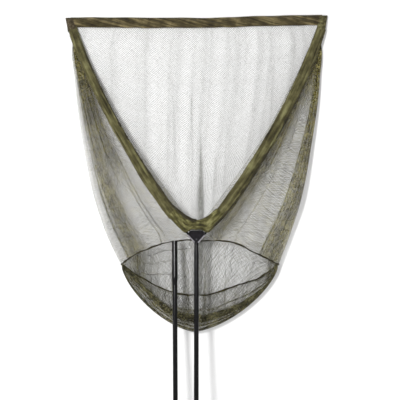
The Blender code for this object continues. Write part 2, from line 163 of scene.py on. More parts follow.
# throat cloth, right half: its folded upper edge and its open lower edge
THROAT = (
    # along, top_x, top_z, low_x, low_z
    (0.00, 0.000, 1.0470, 0.000, 1.0075),
    (0.22, 0.014, 1.0485, 0.022, 1.0075),
    (0.40, 0.028, 1.0540, 0.044, 0.9960),
    (0.65, 0.049, 1.0660, 0.073, 1.0180),
    (1.00, 0.0805, 1.0930, 0.1165, 1.0640),
)

# how tightly the mesh is gathered across each panel, at three places down it
LEFT_GATHER = (
    # across, upper, middle, lower
    (0.00, 0.8, 0.8, 0.9),
    (0.15, 0.9, 1.0, 1.0),
    (0.32, 2.4, 0.7, 0.7),
    (0.40, 3.4, 1.6, 0.8),
    (0.46, 3.2, 4.4, 0.9),
    (0.66, 3.2, 4.8, 1.8),
    (0.74, 3.2, 4.8, 5.6),
    (0.84, 3.0, 4.6, 6.0),
    (0.89, 1.2, 0.8, 5.0),
    (0.93, 0.6, 0.3, 0.4),
    (1.00, 0.4, 0.2, 0.3),
)
RIGHT_GATHER = (
    # across, upper, middle, lower
    (0.00, 0.8, 0.8, 0.9),
    (0.16, 0.9, 0.9, 0.9),
    # These two rows crowd the mesh into a dark band that stands in for painted shadow: the shade under the
    # right sleeve.
    (0.27, 2.4, 4.2, 3.6),
    (0.36, 2.6, 3.2, 1.6),
    (0.46, 2.0, 0.9, 0.6),
    (0.62, 2.6, 0.7, 0.6),
    (0.76, 3.6, 0.8, 0.8),
    (0.82, 4.2, 5.6, 5.6),
    (0.93, 4.2, 6.4, 6.6),
    (1.00, 2.6, 4.6, 5.4),
)
BACK_GATHER = (
    # across, upper, middle, lower
    (-1.00, 0.7, 0.7, 0.9),
    (-0.60, 0.9, 0.9, 1.0),
    (0.00, 0.9, 1.0, 1.0),
    (0.50, 1.0, 1.1, 1.1),
    (1.00, 1.3, 1.5, 1.3),
)
BASE_GATHER = (
    # across, front, fold, back
    (-1.00, 1.2, 1.4, 1.0),
    (-0.92, 1.2, 2.0, 1.0),
    (-0.80, 4.6, 3.0, 1.0),
    (-0.66, 2.2, 4.4, 1.0),
    (-0.50, 0.8, 2.8, 1.0),
    (-0.25, 0.8, 1.6, 1.0),
    (0.15, 0.9, 1.2, 1.0),
    (0.45, 0.7, 1.0, 1.0),
    (0.70, 0.8, 1.4, 1.0),
    (0.84, 1.0, 4.0, 1.0),
    (0.93, 4.0, 3.6, 1.0),
    (1.00, 3.0, 2.0, 1.0),
)

# sharp creases, where the mesh is drawn into a narrow line
LEFT_CREASES = (
    # across, width, start, end, strength
    (0.41, 0.007, 0.40, 0.96, 7.0),
    (0.46, 0.006, 0.62, 1.00, 8.0),
    (0.60, 0.008, 0.20, 0.55, 5.0),
    (0.74, 0.007, 0.50, 0.95, 4.0),
    (0.80, 0.010, 0.05, 0.50, 5.0),
    (0.885, 0.007, 0.10, 1.00, 7.0),
    (0.985, 0.005, 0.55, 1.00, 4.0),
)
RIGHT_CREASES = (
    # across, width, start, end, strength
    # This crease darkens the same band beside the right sleeve, standing in for painted shadow.
    (0.235, 0.010, 0.05, 0.84, 12.0),
    (0.50, 0.005, 0.55, 1.00, 9.0),
    (0.40, 0.012, 0.05, 0.60, 4.0),
    (0.56, 0.008, 0.05, 0.50, 3.0),
    (0.80, 0.006, 0.20, 1.00, 9.0),
    (0.88, 0.006, 0.10, 0.80, 6.0),
)
BACK_CREASES = (
    # across, width, start, end, strength
    (0.031, 0.006, 0.42, 1.00, 9.0),
    (0.033, 0.012, 0.50, 1.00, 12.0),
    (0.035, 0.022, 0.58, 1.00, 14.0),
    (-0.045, 0.004, 0.20, 0.72, 2.2),
    (-0.20, 0.005, 0.15, 0.60, 1.2),
    (-0.15, 0.008, 0.55, 1.00, 2.0),
    (0.16, 0.008, 0.45, 1.00, 2.0),
    (0.25, 0.006, 0.30, 0.80, 1.2),
    (0.62, 0.008, 0.10, 0.90, 1.5),
)
BASE_CREASES = (
    # across, width, start, end, strength
    (-0.88, 0.010, 0.02, 0.50, 5.0),
    (-0.62, 0.008, 0.05, 0.40, 4.0),
    (-0.33, 0.007, 0.02, 0.35, 6.0),
    (-0.11, 0.006, 0.02, 0.30, 7.0),
    # This wide crease crowds the mesh into a dark band that stands in for painted shadow: the shade beside
    # the right pole below the spreader.
    (0.12, 0.022, 0.00, 0.45, 5.0),
    (0.40, 0.007, 0.02, 0.30, 6.0),
    (0.62, 0.008, 0.05, 0.45, 3.0),
)

# folds that run round the base, given by how far down it they lie at its left, middle and right
BASE_ARCS = (
    # left, middle, right, width, strength, first_across, last_across
    (0.34, 0.69, 0.78, 0.050, 20.0, -1.00, 0.95),
    (0.50, 0.80, 0.84, 0.014, 9.0, -0.90, 1.00),
    (0.74, 0.87, 0.90, 0.020, 12.0, -1.00, 1.00),
    (0.62, 0.60, 0.60, 0.012, 7.0, -0.10, 0.90),
    (0.90, 0.97, 0.97, 0.020, 12.0, -1.00, 1.00),
    (0.16, 0.10, 0.14, 0.008, 7.0, -0.30, 0.10),
    (0.24, 0.20, 0.20, 0.006, 6.0, -0.40, 0.05),
    (0.36, 0.32, 0.30, 0.009, 7.0, -0.55, 0.02),
    (0.50, 0.46, 0.40, 0.008, 4.0, -0.45, 0.40),
)


# --- measuring helpers -------------------------------------------------------------------------------


def column(table, index):
    return [row[index] for row in table]


def smooth(at, knots, values):
    """A smooth curve through a short table."""
    at = np.asarray(at, float)
    knots = np.asarray(knots, float)
    values = np.asarray(values, float)
    if knots[0] > knots[-1]:
        knots, values = knots[::-1], values[::-1]
    slopes = np.gradient(values, knots)
    i = np.clip(np.searchsorted(knots, at, side="right") - 1, 0, len(knots) - 2)
    span = knots[i + 1] - knots[i]
    t = np.clip((at - knots[i]) / span, 0.0, 1.0)
    return (
        (2 * t**3 - 3 * t**2 + 1) * values[i]
        + (t**3 - 2 * t**2 + t) * span * slopes[i]
        + (3 * t**2 - 2 * t**3) * values[i + 1]
        + (t**3 - t**2) * span * slopes[i + 1]
    )


def step(value):
    value = np.clip(value, 0.0, 1.0)
    return value * value * (3 - 2 * value)


def wander(at, seed, waves=6, slowest=1.0):
    """A smooth irregular wave of about unit height, the same on every run."""
    chance = np.random.default_rng(seed)
    total = 0.0
    for k in range(waves):
        pace = slowest * (1 + k * 0.9)
        total = total + np.sin(2 * math.pi * (pace * at + chance.random())) / (1 + 0.5 * k)
    return total / 2.2


def on_frame(x, height, out=0.0):
    """World points for x and height in the leaning frame plane, moved out of it toward the front."""
    x, height, out = np.broadcast_arrays(*(np.asarray(v, float) for v in (x, height, out)))
    return np.stack([x, height * math.tan(LEAN) - out * math.cos(LEAN), height + out * math.sin(LEAN)], -1)


def frame_normal(count):
    return np.tile([0.0, -math.cos(LEAN), math.sin(LEAN)], (count, 1))


def even(points, count):
    """Points at even steps of length along a polyline."""
    points = np.asarray(points, float)
    run = np.concatenate([[0.0], np.cumsum(np.linalg.norm(np.diff(points, axis=0), axis=1))])
    at = np.linspace(0.0, 1.0, count) * run[-1]
    return np.stack([np.interp(at, run, points[:, k]) for k in range(points.shape[1])], -1)


def arm_x(height):
    rise = np.asarray(height, float) - ARM_ROOT_Z
    return ARM_ROOT_X + ARM_SPREAD * rise - ARM_BOW * rise**2


def arm_inward(height):
    """Unit vector (x, z) in the frame, square to the right arm and toward the mouth."""
    slope = ARM_SPREAD - 2 * ARM_BOW * (np.asarray(height, float) - ARM_ROOT_Z)
    length = np.sqrt(1 + slope**2)
    return -1 / length, slope / length


def arm_line(side, heights):
    """Centres of an arm, and directions in the frame square to it and toward the mouth."""
    inward_x, inward_z = arm_inward(heights)
    wide = on_frame(side * inward_x, inward_z)
    return on_frame(side * arm_x(heights), heights), wide / np.linalg.norm(wide, axis=1)[:, None]


def front_depth(height):
    """How far back the front layer of the bag hangs."""
    height = np.asarray(height, float)
    behind_arm = height * math.tan(LEAN) + NET_BEHIND_ARM
    share = step((height - 0.97) / 0.20)
    return RING_FRONT_Y * (1 - share) + behind_arm * share


def back_depth(height):
    height = np.asarray(height, float)
    return NET_BACK_Y - (NET_BACK_Y - NET_TOP_Y) * step((height - NET_CURL_Z) / (NET_TOP_Z - NET_CURL_Z))


def outline_depth(height):
    return np.minimum(0.5 * (front_depth(height) + NET_BACK_Y), back_depth(height))


def outline_x(height, side):
    return side * smooth(height, column(OUTLINE, 0), column(OUTLINE, 2 if side > 0 else 1))


def ring_xz(across, back):
    knots = column(RING, 0)
    return smooth(across, knots, column(RING, 1)), smooth(across, knots, column(RING, 3 if back else 2))


# --- the four panels of the bag ----------------------------------------------------------------------


def fringe(height):
    """How far the net reaches past the middle of the arm into the mouth: more toward the throat."""
    return 0.016 + 0.0125 * step((1.80 - height) / 0.25) + 0.010 * step((1.45 - height) / 0.35)


def arm_edge(side):
    """(x, z) of the inner edge of a side panel: along the arm, then down the middle to the ring."""
    heights = np.linspace(NET_SIDE_START_Z, ARM_ROOT_Z, 200)
    inward_x, inward_z = arm_inward(heights)
    x = arm_x(heights) + fringe(heights) * inward_x
    z = heights + fringe(heights) * inward_z
    keep = x > 0.001
    middle_z = np.linspace(z[keep][-1], float(ring_xz(0.0, False)[1]), 12)[1:]
    x = np.concatenate([x[keep], np.full(len(middle_z), 0.001)])
    z = np.concatenate([z[keep], middle_z])
    return np.stack([side * x, z], -1)


def side_surface(side):
    """Makes a function of across (0 at the arm, 1 at the outline) and down (0 at the tip, 1 at the ring)."""
    inner = even(arm_edge(side), 500)
    heights = np.linspace(NET_SIDE_START_Z, OUTLINE[-1][0], 500)
    outer = even(np.stack([outline_x(heights, side), heights], -1), 500)
    full = np.linspace(0.0, 1.0, 500)
    start_x, start_z = side * 0.001, float(ring_xz(0.0, False)[1])
    end_x, end_z = float(outline_x(OUTLINE[-1][0], side)), OUTLINE[-1][0]

    def surface(across, down):
        inner_x, inner_z = (np.interp(down, full, inner[:, k]) for k in (0, 1))
        outer_x, outer_z = (np.interp(down, full, outer[:, k]) for k in (0, 1))
        ring_x, ring_z = ring_xz(side * across, False)
        weight = down**3
        x = (1 - across) * inner_x + across * outer_x
        x = x + weight * (ring_x - ((1 - across) * start_x + across * end_x))
        z = (1 - across) * inner_z + across * outer_z
        z = z + weight * (ring_z - ((1 - across) * start_z + across * end_z))
        bend = 1 - np.sqrt(np.clip(1 - across**2, 0.0, 1.0))
        y = front_depth(z) * (1 - bend) + outline_depth(z) * bend
        room = np.clip((NET_BACK_Y - front_depth(outer_z) - 0.012) / 0.05, 0.0, 1.0)
        swell = np.sin(math.pi * np.clip(down * 1.01, 0, 1)) ** 0.6 * np.sin(math.pi * across) ** 0.5
        billow = 0.0035 * wander(across + 0.1 * down, 11 + side, 5, 1.7)
        crumple = 0.0016 * wander(across * 4 + 0.8 * down, 21 + side, 4, 1.3)
        past_sleeve = step((across - 0.30) / 0.15)
        y = y - (0.003 + billow) * room * swell * past_sleeve - crumple * room * swell
        return np.stack([x, y, z], -1)

    return surface


def back_surface(across, down):
    """across runs from -1 to 1, down from 0 under the top sleeve to 1 at the back of the ring."""
    low = OUTLINE[-1][0]
    height = NET_TOP_Z + (low - NET_TOP_Z) * down
    share = 0.5 * (1 + across)
    ring_x, ring_z = ring_xz(across, True)
    straight_x = OUTLINE[-1][2] * share - OUTLINE[-1][1] * (1 - share)
    x = outline_x(height, -1) * (1 - share) + outline_x(height, 1) * share
    x = x + down**3 * (ring_x - straight_x)
    under_sleeve = smooth(x, column(TOP_LINE, 0), column(TOP_LINE, 1)) - 0.019
    z = height + down**3 * (ring_z - low) + np.clip(1 - 9 * down, 0, 1) * (under_sleeve - NET_TOP_Z)
    bend = np.clip(1 - across**2, 0.0, 1.0) ** 0.25
    y = outline_depth(z) * (1 - bend) + back_depth(z) * bend
    lines = wander(0.5 * across + 0.06 * down, 31, 7, 1.5)
    y = y - 0.0018 * (1 + lines) * step(down / 0.15) * bend
    central = np.exp(-(((across - 0.035) / 0.03) ** 2))
    y = y - 0.006 * central * step((down - 0.45) / 0.4)
    return np.stack([x, y, z], -1)


def bottom_z(x):
    reach = np.where(x < BOTTOM_X, BOTTOM_X - RING[0][1], RING[-1][1] - BOTTOM_X)
    share = np.clip(np.abs(x - BOTTOM_X) / reach, 0.0, 1.0)
    end = OUTLINE[-1][0]
    return end - (end - BOTTOM_Z) * (1 - share**BASE_POWER) ** (1 / BASE_POWER)


def base_surface(across, along):
    """along runs from 0 at the front of the ring to 1 at the lowest fold and 2 at the back of the ring."""
    across = across * math.sin(BASE_LAST_TURN)
    cosine = np.sqrt(1 - across**2)
    front_x, front_z = ring_xz(across, False)
    _, back_z = ring_xz(across, True)
    ends = outline_depth(OUTLINE[-1][0])
    front_y = ends + (front_depth(front_z) - ends) * cosine
    back_y = ends + (NET_BACK_Y - ends) * np.sqrt(cosine)
    low_x = front_x - 0.10 * (front_x - BOTTOM_X) * (1 - across**2)
    low_z = bottom_z(low_x)
    front = along <= 1.0
    height = np.where(front, front_z, back_z)
    down = np.where(front, along, 2.0 - along) * (math.pi / 2)
    fallen = np.sin(down) ** BASE_DROP
    low_y = 0.5 * (front_y + back_y)
    x = front_x + (low_x - front_x) * fallen
    y = low_y + (np.where(front, front_y, back_y) - low_y) * np.clip(np.cos(down), 0, 1) ** 0.9
    z = height + (low_z - height) * fallen
    middle = np.sin(math.pi * np.clip(along, 0, 1)) ** 0.7
    y = y - 0.004 * middle * (0.6 + wander(0.5 * across, 41, 6, 2.2)) * cosine
    y = y - 0.0015 * middle * wander(2.2 * across + 0.3 * along, 43, 4, 1.5) * cosine
    return np.stack([x, y, z], -1)


def ring_line(count):
    """Closed line round the ring seam: the front from left to right, then the back from right to left."""
    turn = np.linspace(-math.pi / 2, math.pi / 2, count // 2 + 1)
    across = np.sin(turn)
    ends = outline_depth(OUTLINE[-1][0])
    front_x, front_z = ring_xz(across, False)
    back_x, back_z = ring_xz(across, True)
    front_y = ends + (front_depth(front_z) - ends) * np.cos(turn)
    back_y = ends + (NET_BACK_Y - ends) * np.sqrt(np.clip(np.cos(turn), 0, 1))
    front = np.stack([front_x, front_y, front_z], -1)
    back = np.stack([back_x, back_y, back_z], -1)
    return np.concatenate([front[:-1], back[::-1][:-1]])


def bunched(density, fine, count):
    """Places spread so that they crowd where the density is high."""
    total = np.concatenate([[0.0], np.cumsum(0.5 * (density[1:] + density[:-1]))])
    return np.interp(np.linspace(0, 1, count), total / total[-1], fine)


def gathered(columns, rows, gather, creases, seed, low, high):
    """Where each knot of a net lies across its panel, row by row, so that it bunches where the cloth does."""
    fine = np.linspace(low, high, 1600)
    width = high - low
    places = np.empty((rows + 1, columns + 1))
    knots = column(gather, 0)
    for j, down in enumerate(np.linspace(0, 1, rows + 1)):
        upper, middle, lower = (smooth(fine, knots, column(gather, k)) for k in (1, 2, 3))
        first, second = step(down / 0.45), step((down - 0.45) / 0.33)
        density = upper * (1 - first) + (middle * (1 - second) + lower * second) * first
        shift = fine / width + 0.03 * down
        streaks = 0.42 * wander(shift * 5 + 0.2 * down, seed, 6, 1.6)
        streaks = streaks + 0.34 * wander(shift * 17 + 0.5 * down, seed + 1, 5, 1.3)
        crumple = 0.22 * wander(shift * 44 + 5 * down, seed + 2, 4, 1.4)
        density = np.maximum(density, 0.25) * np.exp(streaks + crumple)
        for place, crease_width, start, end, strength in creases:
            fade = step((down - start) / 0.15) * step((end - down) / 0.10 + 0.6)
            drift = place + 0.010 * wander(down, seed + int(200 + 100 * place), 3, 1.0)
            density = density + strength * fade * np.exp(-(((fine - drift) / crease_width) ** 2))
        places[j] = bunched(density, fine, columns + 1)
    return places


def arced(columns, rows, arcs, low, high):
    """How far along the base each knot lies: rows crowd into the folds that run round it."""
    fine = np.linspace(low, high, 1600)
    places = np.empty((rows + 1, columns + 1))
    for i, across in enumerate(np.linspace(-1, 1, columns + 1)):
        density = np.where(fine < 1, 1.1, 0.8) * np.exp(0.5 * wander(fine * 3 + 0.4 * across, 83, 6, 1.5))
        for left, middle, right, width, strength, first, last in arcs:
            share = abs(across) ** 1.6
            centre = middle * (1 - share) + (left if across < 0 else right) * share
            centre += 0.012 * float(wander(across * 1.5, 85 + int(100 * middle), 4, 1.0))
            window = step((across - first) / 0.1 + 0.5) * step((last - across) / 0.1 + 0.5)
            density = density + strength * window * np.exp(-(((fine - centre) / width) ** 2))
        places[:, i] = bunched(density, fine, rows + 1)
    return places


def unsettled(grid, axis, amount, seed):
    """Moves knots a little along one axis of the net, as hand-hung mesh is never even; the edges stay put."""
    step_size = np.gradient(grid, axis=axis)
    chance = np.random.default_rng(seed).uniform(-amount, amount, grid.shape)
    chance[[0, -1], :] = 0
    chance[:, [0, -1]] = 0
    return np.clip(grid + step_size * chance, grid.min(), grid.max())


# --- meshes ------------------------------------------------------------------------------------------


def mesh_object(name, points, faces, material, uv=None):
    """A mesh from points and equal-sided faces, with an optional place on the bake sheet for each point."""
    points = np.asarray(points, np.float32).reshape(-1, 3)
    faces = np.asarray(faces, np.int32)
    sides = faces.shape[1]
    mesh = bpy.data.meshes.new(name)
    mesh.vertices.add(len(points))
    mesh.vertices.foreach_set("co", points.ravel())
    mesh.loops.add(faces.size)
    mesh.loops.foreach_set("vertex_index", faces.ravel())
    mesh.polygons.add(len(faces))
    mesh.polygons.foreach_set("loop_start", np.arange(len(faces), dtype=np.int32) * sides)
    mesh.polygons.foreach_set("use_smooth", np.ones(len(faces), bool))
    if uv is not None:
        layer = mesh.uv_layers.new(name="OFBake")
        layer.uv.foreach_set("vector", np.asarray(uv, np.float32)[faces.ravel()].ravel())
    mesh.update(calc_edges=True)
    mesh.validate()
    obj = bpy.data.objects.new(name, mesh)
    bpy.context.scene.collection.objects.link(obj)
    mesh.materials.append(material)
    return obj


def grid_faces(rows, columns, wrap=False):
    """Four-sided faces between the points of a grid; with wrap, its last column joins its first."""
    j, i = np.meshgrid(np.arange(rows - 1), np.arange(columns if wrap else columns - 1), indexing="ij")
    k = (i + 1) % columns
    corners = [j * columns + i, j * columns + k, (j + 1) * columns + k, (j + 1) * columns + i]
    return np.stack(corners, -1).reshape(-1, 4)


def grid_uv(rows, columns):
    v, u = np.meshgrid(np.linspace(0.01, 0.99, rows), np.linspace(0.01, 0.99, columns), indexing="ij")
    return np.stack([u, v], -1).reshape(-1, 2)


def strand_net(name, places, down, surface, thread, material, uneven):
    """A diamond net: each thread is a three-sided strand, whole from one edge of the panel to the other.

    Threads run down to the right and down to the left and cross at each knot. A thread is drawn thinner
    where the mesh is gathered, because it lies on edge there. Its thickness varies by the share uneven.
    """
    rows, columns = places.shape[0] - 1, places.shape[1] - 1
    knots = surface(places, down)
    gap = 1e-3
    right = surface(np.clip(places + gap, places.min(), places.max()), down)
    left = surface(np.clip(places - gap, places.min(), places.max()), down)
    below = np.gradient(knots, axis=0)
    normal = np.cross(right - left, below)
    normal = normal / np.maximum(np.linalg.norm(normal, axis=2), 1e-12)[:, :, None]
    cell = np.linalg.norm(np.gradient(knots, axis=1), axis=2)
    drawn = np.clip(cell / OPEN_GAP, LEAST_GAP_SHARE, 1.0) ** 0.5
    chance = np.random.default_rng(7).uniform(1 - uneven, 1 + uneven, places.shape)
    radius = (thread / math.sqrt(3.0) * chance * drawn)[:, :, None]
    points, faces, sheet, used = [], [], [], 0
    u = np.linspace(0.01, 0.99, columns + 1)
    v = np.linspace(0.99, 0.01, rows + 1)
    knot_uv = np.stack(np.broadcast_arrays(u[None, :], v[:, None]), -1)
    for lean in (1, -1):
        ahead = np.roll(np.roll(knots, -1, axis=0), -lean, axis=1)
        behind = np.roll(np.roll(knots, 1, axis=0), lean, axis=1)
        ahead[-1], behind[0] = knots[-1], knots[0]
        edge_in, edge_out = (0, -1) if lean > 0 else (-1, 0)
        ahead[:, edge_out], behind[:, edge_in] = knots[:, edge_out], knots[:, edge_in]
        along = ahead - behind
        along = along / np.maximum(np.linalg.norm(along, axis=2), 1e-9)[:, :, None]
        across = np.cross(along, normal)
        across = across / np.maximum(np.linalg.norm(across, axis=2), 1e-9)[:, :, None]
        lift = np.cross(across, along)
        rings = [
            knots + radius * (math.cos(turn) * lift + math.sin(turn) * across)
            for turn in (0.0, 2 * math.pi / 3, 4 * math.pi / 3)
        ]
        points.append(np.stack(rings, 2).reshape(-1, 3))
        sheet.append(np.repeat(knot_uv.reshape(-1, 2), 3, axis=0))
        first = used + 3 * np.arange((rows + 1) * (columns + 1)).reshape(rows + 1, columns + 1)
        start = first[:-1, :-1] if lean > 0 else first[:-1, 1:]
        end = first[1:, 1:] if lean > 0 else first[1:, :-1]
        start, end = start.ravel(), end.ravel()
        for k in range(3):
            m = (k + 1) % 3
            faces.append(np.stack([start + k, start + m, end + m, end + k], -1))
        used += len(points[-1])
    points, faces, sheet = (np.concatenate(parts) for parts in (points, faces, sheet))
    obj = mesh_object(name, points, faces, material, sheet)
    loose = bmesh.new()
    loose.from_mesh(obj.data)
    bmesh.ops.delete(loose, geom=[p for p in loose.verts if not p.link_faces], context="VERTS")
    loose.to_mesh(obj.data)
    loose.free()
    return obj


def thread_length(knots):
    """Total length of thread in a net, in metres."""
    right = np.linalg.norm(knots[1:, 1:] - knots[:-1, :-1], axis=2).sum()
    left = np.linalg.norm(knots[1:, :-1] - knots[:-1, 1:], axis=2).sum()
    return float(right + left)


def tube(name, line, radius, material, sides=8, closed=False, flat=1.0):
    """A round or flattened cord along a line of points."""
    line = np.asarray(line, float)
    if closed:
        along = np.roll(line, -1, axis=0) - np.roll(line, 1, axis=0)
    else:
        along = np.gradient(line, axis=0)
    along = along / np.linalg.norm(along, axis=1)[:, None]
    lift = np.tile([0.0, -1.0, 0.0], (len(line), 1))
    across = np.cross(along, lift)
    across = across / np.maximum(np.linalg.norm(across, axis=1), 1e-6)[:, None]
    lift = np.cross(across, along)
    turn = 2 * math.pi * np.arange(sides) / sides
    radius = np.broadcast_to(radius, len(line))[:, None, None]
    rings = line[:, None] + radius * (
        np.cos(turn)[None, :, None] * across[:, None] + flat * np.sin(turn)[None, :, None] * lift[:, None]
    )
    faces = grid_faces(len(line), sides, wrap=True)
    if closed:
        i = np.arange(sides)
        k = (i + 1) % sides
        last = (len(line) - 1) * sides
        faces = np.concatenate([faces, np.stack([last + i, last + k, k, i], -1)])
    return mesh_object(name, rings.reshape(-1, 3), faces, material, grid_uv(len(line), sides))


def thicken(obj, thickness, offset):
    """Gives a sheet of cloth its thickness: offset -1 grows it inward, 0 to both sides."""
    solid = obj.modifiers.new("cloth thickness", "SOLIDIFY")
    solid.thickness = thickness
    solid.offset = offset


# --- materials ---------------------------------------------------------------------------------------


def linear(hex_colour):
    """An sRGB hex colour such as "6B6444" as linear red, green, blue and alpha."""
    values = [int(hex_colour[k : k + 2], 16) / 255 for k in (0, 2, 4)]
    return (*(v / 12.92 if v <= 0.04045 else ((v + 0.055) / 1.055) ** 2.4 for v in values), 1.0)


def add_node(tree, kind, inputs=None, stops=(), **settings):
    """Adds a node with its settings and colour stops, and gives each input a value or a socket's link."""
    made = tree.nodes.new(kind)
    for key, value in settings.items():
        setattr(made, key, value)
    for key, value in (inputs or {}).items():
        if isinstance(value, bpy.types.NodeSocket):
            tree.links.new(value, made.inputs[key])
        else:
            made.inputs[key].default_value = value
    if stops:
        elements = made.color_ramp.elements
        while len(elements) < len(stops):
            elements.new(0.5)
        for element, (place, colour) in zip(elements, stops):
            element.position = place
            element.color = colour
    return made


def new_material(name):
    made = bpy.data.materials.new(name)
    made.use_nodes = True
    tree = made.node_tree
    place = tree.nodes.new("ShaderNodeTexCoord").outputs["Object"]
    return made, tree, tree.nodes["Principled BSDF"], place


def woven_polyester(name, dark, middle, light, slant=0.0):
    """Plain-woven polyester in its dye colour: matt, with a fine cross weave, painted shade in its creases
    and painted light on the folds between them.
    """
    made, tree, shader, place = new_material(name)
    sheet = add_node(tree, "ShaderNodeUVMap", uv_map="OFBake").outputs["UV"]
    # Creases run the length of a sleeve, about 9 mm apart and a hand long; slant turns them across it. This
    # noise paints their shade and light into the colour and raises them in the bump.
    cross = add_node(
        tree,
        "ShaderNodeVectorMath",
        {0: sheet, 1: (11.0, 11.0 * slant, 0.0)},
        operation="DOT_PRODUCT",
    )
    length = add_node(tree, "ShaderNodeVectorMath", {0: sheet, 1: (0.0, 6.0, 0.0)}, operation="DOT_PRODUCT")
    run = add_node(
        tree,
        "ShaderNodeCombineXYZ",
        {"X": cross.outputs["Value"], "Y": length.outputs["Value"]},
    )
    creases = add_node(
        tree,
        "ShaderNodeTexNoise",
        {"Vector": run.outputs[0], "Scale": 1.0, "Detail": 5.0, "Roughness": 0.62},
    )
    fading = add_node(
        tree,
        "ShaderNodeTexNoise",
        {"Vector": place, "Scale": 26.0, "Detail": 5.0, "Roughness": 0.6},
    )
    both = add_node(
        tree,
        "ShaderNodeMix",
        {"Factor": 0.35, "A": creases.outputs["Fac"], "B": fading.outputs["Fac"]},
    )
    # Painted shade and light: the ramp darkens the cloth in its creases and lightens it on its folds, as
    # light falls on them, with some random tone from the fading noise.
    noise_colour = add_node(
        tree,
        "ShaderNodeValToRGB",
        {"Fac": both.outputs["Result"]},
        ((0.36, dark), (0.50, middle), (0.64, light)),
    )
    # The real thread is 0.4 mm wide, too fine to show here, so the weave is drawn 3 mm wide.
    warp, weft = (
        add_node(
            tree,
            "ShaderNodeTexWave",
            {"Vector": place, "Scale": 105.0, "Distortion": 0.6},
            bands_direction=direction,
        ).outputs["Fac"]
        for direction in ("X", "Z")
    )
    weave = add_node(tree, "ShaderNodeMath", {0: warp, 1: weft}, operation="MULTIPLY").outputs[0]
    grey = add_node(tree, "ShaderNodeCombineColor", {k: weave for k in ("Red", "Green", "Blue")})
    # Sockets 6 and 7 are the two colours of a Mix node, and 2 is its colour output.
    shade = add_node(
        tree,
        "ShaderNodeMix",
        {"Factor": 0.18, 6: noise_colour.outputs["Color"], 7: grey.outputs[0]},
        data_type="RGBA",
        blend_type="OVERLAY",
    )
    tree.links.new(shade.outputs[2], shader.inputs["Base Color"])
    height = add_node(
        tree,
        "ShaderNodeMath",
        {0: creases.outputs["Fac"], 1: 5.0, 2: weave},
        operation="MULTIPLY_ADD",
    )
    bump = add_node(
        tree,
        "ShaderNodeBump",
        {"Height": height.outputs[0], "Strength": 0.7, "Distance": 0.0014},
    )
    tree.links.new(bump.outputs["Normal"], shader.inputs["Normal"])
    shader.inputs["Roughness"].default_value = 0.82
    shader.inputs["Specular IOR Level"].default_value = 0.2
    shader.inputs["Sheen Weight"].default_value = 0.08
    shader.inputs["Sheen Roughness"].default_value = 0.5
    return made


def knitted_yarn(name, dark, middle, light):
    """Soft knitted net yarn: matt thread whose dye drifts every few fingers, speckled at the knots."""
    made, tree, shader, place = new_material(name)
    drift = add_node(
        tree,
        "ShaderNodeTexNoise",
        {"Vector": place, "Scale": 22.0, "Detail": 3.0, "Roughness": 0.6},
    )
    # A knot comes every 6 mm of thread, where the dye is deeper or paler than between.
    knots = add_node(
        tree,
        "ShaderNodeTexNoise",
        {"Vector": place, "Scale": 170.0, "Detail": 2.0, "Roughness": 0.6},
    )
    both = add_node(
        tree,
        "ShaderNodeMix",
        {"Factor": 0.68, "A": drift.outputs["Fac"], "B": knots.outputs["Fac"]},
    )
    noise_colour = add_node(
        tree,
        "ShaderNodeValToRGB",
        {"Fac": both.outputs["Result"]},
        ((0.40, dark), (0.50, middle), (0.60, light)),
    )
    tree.links.new(noise_colour.outputs["Color"], shader.inputs["Base Color"])
    shader.inputs["Roughness"].default_value = 0.78
    shader.inputs["Specular IOR Level"].default_value = 0.15
    return made


def black_lacquered_tube(name, dark, middle, light):
    """Drawn tube under black lacquer: smooth and dark, with a soft bright line and faint rubbing marks."""
    made, tree, shader, place = new_material(name)
    rub = add_node(
        tree,
        "ShaderNodeTexNoise",
        {"Vector": place, "Scale": 55.0, "Detail": 6.0, "Roughness": 0.7},
    ).outputs["Fac"]
    stops = ((0.35, dark), (0.62, middle), (0.8, light))
    lacquer = add_node(tree, "ShaderNodeValToRGB", {"Fac": rub}, stops)
    tree.links.new(lacquer.outputs["Color"], shader.inputs["Base Color"])
    rough = add_node(tree, "ShaderNodeMapRange", {"Value": rub, "To Min": 0.12, "To Max": 0.22})
    tree.links.new(rough.outputs["Result"], shader.inputs["Roughness"])
    shader.inputs["Specular IOR Level"].default_value = 0.2
    return made


def moulded_nylon(name, dark, light):
    """Glass-filled nylon from a spark-eroded mould: fine even grain and a faint mottle; in pale grey it
    paints the highlight on the spreader's raised edges.
    """
    made, tree, shader, place = new_material(name)
    mottle = add_node(tree, "ShaderNodeTexNoise", {"Vector": place, "Scale": 90.0, "Detail": 4.0})
    stops = ((0.35, dark), (0.7, light))
    moulding = add_node(tree, "ShaderNodeValToRGB", {"Fac": mottle.outputs["Fac"]}, stops)
    tree.links.new(moulding.outputs["Color"], shader.inputs["Base Color"])
    # Spark-eroded grain is 0.1 mm across, too fine to show, so it is drawn 1 mm across.
    grain = add_node(tree, "ShaderNodeTexNoise", {"Vector": place, "Scale": 900.0, "Detail": 3.0})
    bump = add_node(
        tree,
        "ShaderNodeBump",
        {"Height": grain.outputs["Fac"], "Strength": 0.25, "Distance": 0.0003},
    )
    tree.links.new(bump.outputs["Normal"], shader.inputs["Normal"])
    shader.inputs["Roughness"].default_value = 0.24
    shader.inputs["Specular IOR Level"].default_value = 0.15
    return made


def turned_alloy(name, dark, light):
    """Turned aluminium, black anodised: dark metal with fine rings round it."""
    made, tree, shader, place = new_material(name)
    # Turning marks are 0.1 mm apart in life; they are drawn 1.2 mm apart so that they show.
    rings = add_node(
        tree,
        "ShaderNodeTexWave",
        {"Vector": place, "Scale": 260.0, "Distortion": 0.3},
        bands_direction="Z",
    )
    stops = ((0.2, dark), (0.8, light))
    metal = add_node(tree, "ShaderNodeValToRGB", {"Fac": rings.outputs["Fac"]}, stops)
    tree.links.new(metal.outputs["Color"], shader.inputs["Base Color"])
    shader.inputs["Metallic"].default_value = 0.85
    shader.inputs["Roughness"].default_value = 0.36
    return made


